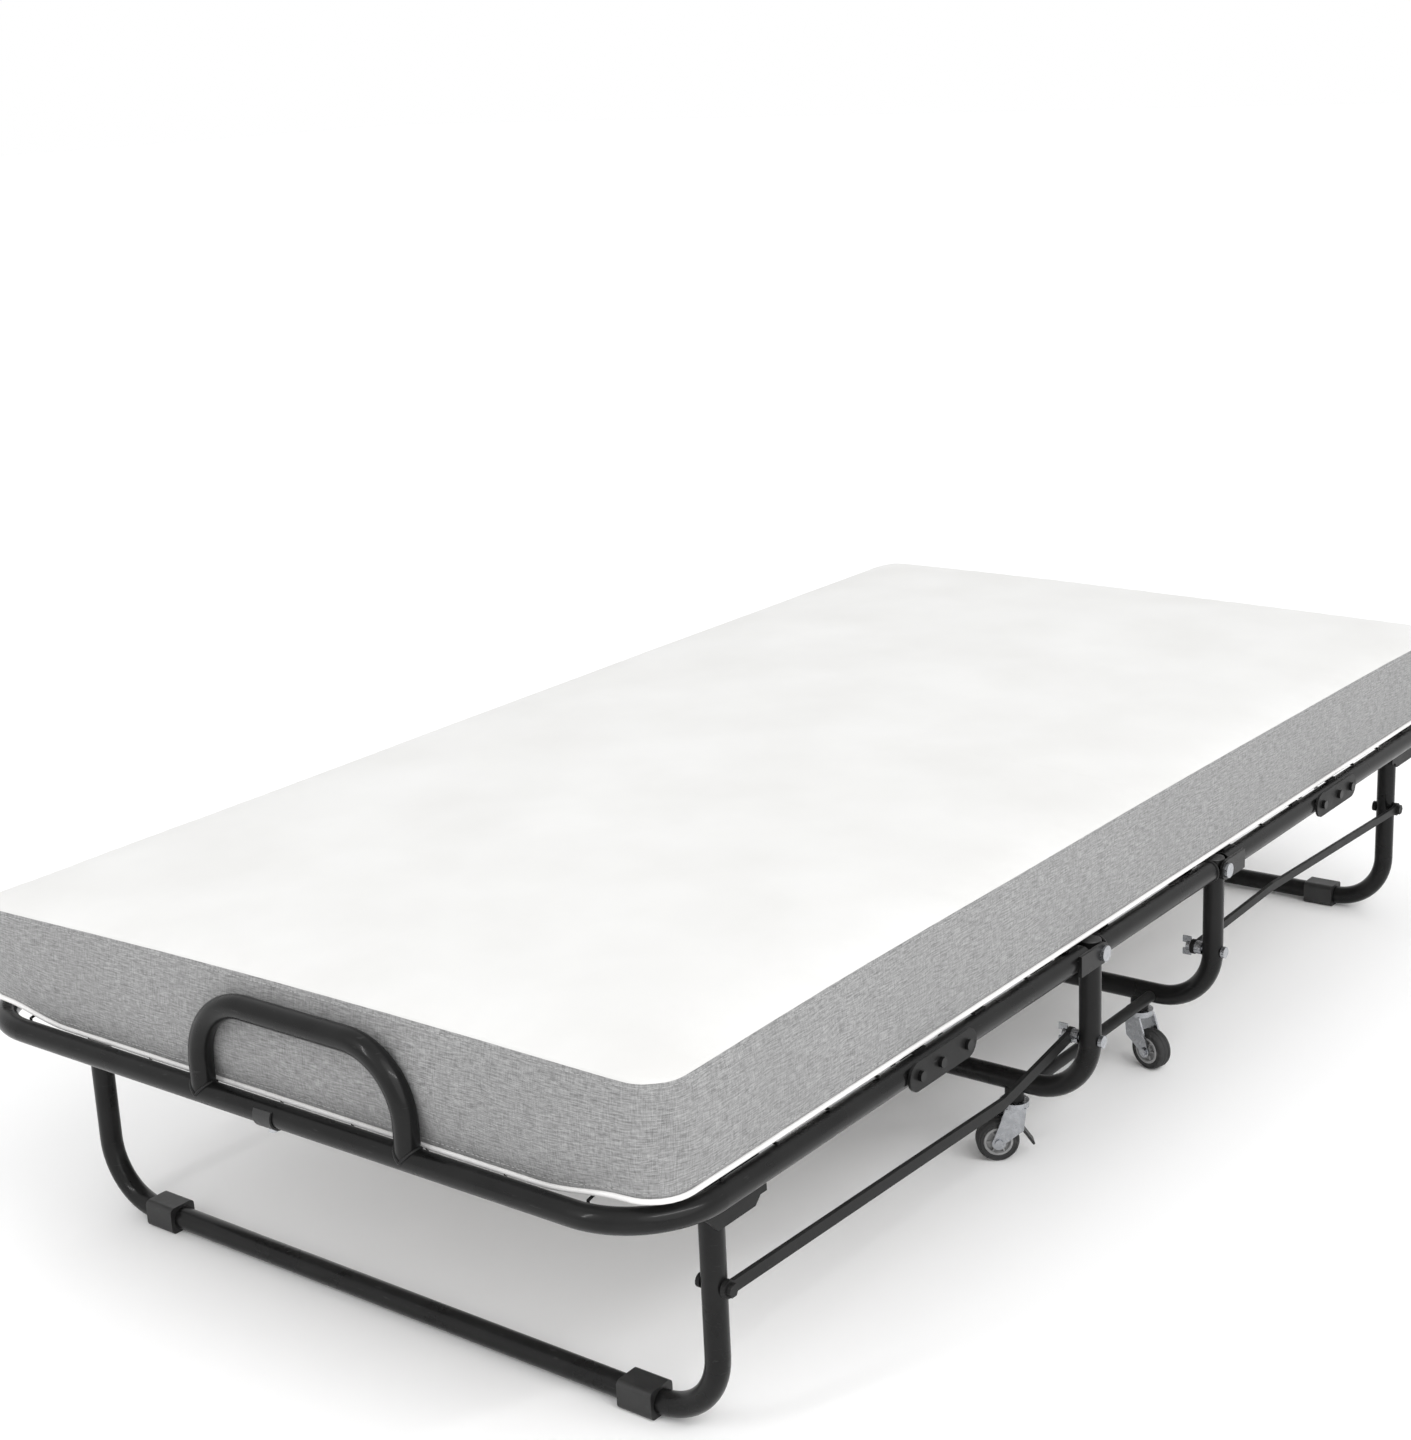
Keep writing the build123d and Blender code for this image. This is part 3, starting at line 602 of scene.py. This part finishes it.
# the part of a closed ring at one end of the bed, in order, reaching the middle
def halfLine(points, side):
    count = len(points)
    keep = [n for n in range(count) if points[n][0] * side > -1e-4]
    start = next(n for n in keep if (n - 1) % count not in set(keep))
    line = []
    while points[start % count][0] * side > -1e-4:
        line.append(points[start % count])
        start += 1
    return line


def makeMattress(m):
    body, plan, out, count = buildMattress(m)
    inflate(body, m, count)
    cage = vertexArray(body.data)
    mesh = subdivided(body)
    bpy.data.objects.remove(body)
    surface = BVHTree.FromPolygons([v.co for v in mesh.vertices], [p.vertices for p in mesh.polygons])
    rows = {"bottom": cage[:count], "top": cage[m["rows"] * count:(m["rows"] + 1) * count]}
    below = cage[(m["rows"] - 1) * count:m["rows"] * count]
    above = cage[count:2 * count]
    topStitch = rows["top"] + (below - rows["top"]) * m["topStitch"]
    lowStitch = rows["bottom"] + (above - rows["bottom"]) * m["lowStitch"]
    pipe = rows["bottom"] + np.column_stack([out * 0.0012, np.full(count, 0.0008)])
    for end, side in (("foot", -1), ("head", 1)):
        name = end.capitalize()
        half = cutHalf("mattress" + name, mesh, side)
        foldWith(half)
        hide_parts("mattress_" + end, "mattress_bend_" + end)
        if end == "foot":
            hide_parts("mattress_middle")
        tape = grown("piping" + name, [halfLine(pipe, side)], "swept",
                     {"Radius": 0.0027, "Material": looks["mattress_piping"]})
        foldWith(tape)
        lines = [onSurface(surface, halfLine(topStitch, side), 0.0002),
                 onSurface(surface, halfLine(lowStitch, side), 0.0002)]
        thread = grown("seamStitches" + name, lines, "beads", {
            "Spacing": 0.0062, "Thickness": 0.0008, "Length": 0.0046, "Seed": 3, "Material": looks["thread"]})
        foldWith(thread)
    bpy.data.meshes.remove(mesh)


makeMattress(mattress)
print("mattress ready")


# turned parts
# adds a closed turned shape from (radius, height) pairs, where a radius of 0 is on the axis
def lathe(bm, profile, steps, place):
    rings = []
    for radius, height in profile:
        if radius < 1e-9:
            rings.append([bm.verts.new(place @ Vector((0, 0, height)))])
            continue
        ring = []
        for step in range(steps):
            turn = 2 * math.pi * step / steps
            spot = Vector((radius * math.cos(turn), radius * math.sin(turn), height))
            ring.append(bm.verts.new(place @ spot))
        rings.append(ring)
    pairs = list(zip(rings, rings[1:]))
    if len(rings[0]) > 1:
        pairs.append((rings[-1], rings[0]))
    made = []
    for low, high in pairs:
        for step in range(steps):
            after = (step + 1) % steps
            corners = [low[step % len(low)], low[after % len(low)]]
            corners += [high[after % len(high)], high[step % len(high)]]
            corners = list(dict.fromkeys(corners))  # a ring on the axis is one vertex
            if len(corners) > 2:
                made.append(bm.faces.new(corners))
    return made


def finishMesh(name, bm, material, sharpAngle=35):
    bmesh.ops.recalc_face_normals(bm, faces=bm.faces)
    for face in bm.faces:
        face.smooth = True
    for edge in bm.edges:
        if len(edge.link_faces) == 2 and edge.calc_face_angle(0) > math.radians(sharpAngle):
            edge.smooth = False
    mesh = bpy.data.meshes.new(name)
    bm.to_mesh(mesh)
    bm.free()
    mesh.materials.append(material)
    return showMesh(name, mesh)


casters = {
    "spots": {"foot_right": (-0.155, -0.375, 128), "head_right": (0.155, -0.375, -105),
              "foot_left": (-0.155, 0.375, 150), "head_left": (0.155, 0.375, -30)},
    "trail": 0.020, "axle": 0.025, "tyreHalf": 0.010, "hubHalf": 0.011, "steps": 64,
    "ribs": 6, "ribAt": 0.0101, "ribSize": (0.0082, 0.0018, 0.0190),
}  # spots hold each swivel's place and heading at rest


def wheelPlace(spot):
    x, y, heading = spot
    turn = Matrix.Rotation(math.radians(heading), 4, "Z")
    middle = Matrix.Translation((x, y, 0)) @ turn @ Matrix.Translation((casters["trail"], 0, casters["axle"]))
    return middle @ Matrix.Rotation(math.radians(90), 4, "X")


def makeWheels():
    half, hub = casters["tyreHalf"], casters["hubHalf"]
    tread = [(0.0171, -half), (0.0205, -half), (0.0212, -half + 0.0006), (0.0219, -half),
             (0.0228, -half + 0.0003), (0.0242, -half + 0.0018), (0.0249, -half + 0.0040), (0.0250, -0.0042),
             (0.0244, -0.0036), (0.0244, -0.0026), (0.0250, -0.0020)]
    tread += [(radius, -height) for radius, height in reversed(tread)]
    web = [(0.0031, -hub), (0.0062, -hub), (0.0066, -hub + 0.0004), (0.0068, -0.0065), (0.0072, -0.0060),
           (0.0130, -0.0060), (0.0134, -0.0065), (0.0138, -hub + 0.0012), (0.0143, -hub + 0.0006),
           (0.0164, -hub + 0.0006), (0.01695, -hub + 0.0012)]
    web += [(radius, -height) for radius, height in reversed(web)]
    for name, spot in casters["spots"].items():
        place = wheelPlace(spot)
        bm = bmesh.new()
        lathe(bm, tread, casters["steps"], place)
        tyre = finishMesh("casterTyre_" + name, bm, looks["tyre_rubber"])
        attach(tyre, "wheel_" + name)
        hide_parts("caster_tyre_" + name)
        bm = bmesh.new()
        lathe(bm, web, casters["steps"], place)
        for rib in range(casters["ribs"]):
            turn = Matrix.Rotation(2 * math.pi * rib / casters["ribs"], 4, "Z")
            box = bmesh.ops.create_cube(bm, size=1)["verts"]
            size = Matrix.Diagonal((*casters["ribSize"], 1))
            shape = place @ turn @ Matrix.Translation((casters["ribAt"], 0, 0)) @ size
            bmesh.ops.transform(bm, matrix=shape, verts=box)
        wheel = finishMesh("casterHub_" + name, bm, looks["hub_plastic"])
        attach(wheel, "wheel_" + name)
        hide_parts("caster_hub_" + name)


makeWheels()
print("wheels ready")

tubes = {"radius": 0.0125, "hingeX": 0.155, "sideY": 0.4725, "endX": 0.9305, "railZ": 0.276,
         "legX": 0.800, "legY": 0.4325, "legTop": 0.281, "uTop": 0.2885}


# domed plastic plugs in the open tube ends
def makeTubeCaps():
    profile = [(0, -0.006), (0.0100, -0.006), (0.0103, -0.0004), (0.0124, -0.0004), (0.0125, 0.0003),
               (0.0117, 0.0014), (0.0085, 0.0024), (0.0045, 0.0029), (0, 0.0030)]
    for end, side in (("foot", -1), ("head", 1)):
        name = end.capitalize()
        groups = (("chassis", "uLegCaps" + name, tubes["hingeX"], tubes["sideY"], tubes["uTop"]),
                  ("end_leg_" + end, "endLegCaps" + name, tubes["legX"], tubes["legY"], tubes["legTop"]))
        for body, capsName, x, y, z in groups:
            bm = bmesh.new()
            for across in (-1, 1):
                lathe(bm, profile, 40, Matrix.Translation((side * x, across * y, z)))
            caps = finishMesh(capsName, bm, looks["black_plastic"])
            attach(caps, body)


makeTubeCaps()


# closed ring of points round a middle, square to axis x or y
def circleLine(middle, axis, radius, steps=40):
    line = []
    for step in range(steps):
        turn = 2 * math.pi * step / steps
        a, b = radius * math.cos(turn), radius * math.sin(turn)
        offset = (0, a, b) if axis == "x" else (a, 0, b)
        line.append(tuple(c + o for c, o in zip(middle, offset)))
    return line


# where an upright tube meets a tube of the same size that runs across the bed
def saddleLine(middle, radius, steps=40):
    line = []
    for step in range(steps):
        turn = 2 * math.pi * step / steps
        x, y = radius * math.cos(turn), radius * math.sin(turn)
        z = math.sqrt(max(radius * radius - x * x, 0))
        line.append(tuple(c + o * weldPlaces["proud"] for c, o in zip(middle, (x, y, z))))
    return line


welds = {"Spacing": 0.0018, "Thickness": 0.0034, "Length": 0.0036, "Seed": 5, "Material": looks["weld"]}
weldPlaces = {
    "handleY": (-0.183, 0.097), "proud": 1.02, "crossX": 0.105, "crossY": 0.4588, "crossZ": 0.27975,
    "crossRadius": 0.0146, "railX": 0.1402,
}


def makeWelds():
    t, w = tubes, weldPlaces
    handleLines = [saddleLine((-t["endX"], y, t["railZ"]), t["radius"]) for y in w["handleY"]]
    handleWelds = grown("handleWelds", handleLines, "beads", welds, cyclic=True)
    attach(handleWelds, "half_foot")
    lines = []
    for across in (-1, 1):
        for end in (-1, 1):
            crossing = (end * w["crossX"], across * w["crossY"], w["crossZ"])
            lines.append(circleLine(crossing, "y", w["crossRadius"]))
            lines.append(circleLine((end * w["railX"], across * t["sideY"], t["railZ"]), "x", t["radius"]))
    chassisWelds = grown("chassisWelds", lines, "beads", welds, cyclic=True)
    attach(chassisWelds, "chassis")


makeWelds()
print("caps and welds ready")


# stage, light and camera
def stageMaterial():
    material, tree = startMaterial("paleFloor")
    soft = noiseAt(tree, objectPlace(tree), 0.6, 2)
    endMaterial(tree, {"Base Color": ramp(tree, soft, 0.3, 0.7, grey(0.93), grey(0.94)), "Roughness": 0.9,
                       "Specular IOR Level": 0.1})
    return material


def makeStage():
    mesh = bpy.data.meshes.new("floor")
    reach = 30
    corners = [(-reach, -reach, 0), (reach, -reach, 0), (reach, reach, 0), (-reach, reach, 0)]
    mesh.from_pydata(corners, [], [(0, 1, 2, 3)])
    mesh.materials.append(stageMaterial())
    showMesh("floor", mesh)


suns = {
    "key": {"from": (-0.25, -1.0, 0.75), "strength": 0.85, "spread": 60},
    "front": {"from": (-1.0, 0.1, 0.8), "strength": 0.12, "spread": 60},
}
strips = {
    "sideStrip": {"at": (-0.9, -2.6, 2.6), "aim": (0.1, -0.4, 0.25), "size": (2.6, 0.10), "watts": 26},
    "endStrip": {"at": (-3.4, 0.5, 2.3), "aim": (-0.9, 0, 0.25), "size": (0.10, 1.8), "watts": 16},
}


def makeLights():
    for name, look in suns.items():
        data = bpy.data.lights.new(name, "SUN")
        data.energy = look["strength"]
        data.angle = math.radians(look["spread"])
        lamp = bpy.data.objects.new(name, data)
        lamp.rotation_euler = Vector(look["from"]).to_track_quat("Z", "Y").to_euler()
        bpy.context.collection.objects.link(lamp)
    for name, look in strips.items():
        data = bpy.data.lights.new(name, "AREA")
        data.shape = "RECTANGLE"
        data.size, data.size_y = look["size"]
        data.energy = look["watts"]
        lamp = bpy.data.objects.new(name, data)
        lamp.location = look["at"]
        aim = Vector(look["aim"]) - Vector(look["at"])
        lamp.rotation_euler = aim.to_track_quat("-Z", "Y").to_euler()
        bpy.context.collection.objects.link(lamp)
    world = bpy.data.worlds.new("studio")
    world.use_nodes = True
    world.node_tree.nodes["Background"].inputs[0].default_value = grey(1.0)
    world.node_tree.nodes["Background"].inputs[1].default_value = 1.0
    bpy.context.scene.world = world
    bpy.context.scene.view_settings.view_transform = "Standard"


camera = {"at": (-2.33085, -1.64035, 1.25634), "turn": (74.0116, 2.5425, -52.9185), "lens": 59.31}


def makeCamera():
    data = bpy.data.cameras.new("camera")
    data.lens = camera["lens"]
    data.sensor_width = 36
    data.clip_end = 100
    obj = bpy.data.objects.new("camera", data)
    obj.location = camera["at"]
    obj.rotation_euler = [math.radians(angle) for angle in camera["turn"]]
    bpy.context.collection.objects.link(obj)
    bpy.context.scene.camera = obj


makeStage()
makeLights()
makeCamera()
print("stage ready")
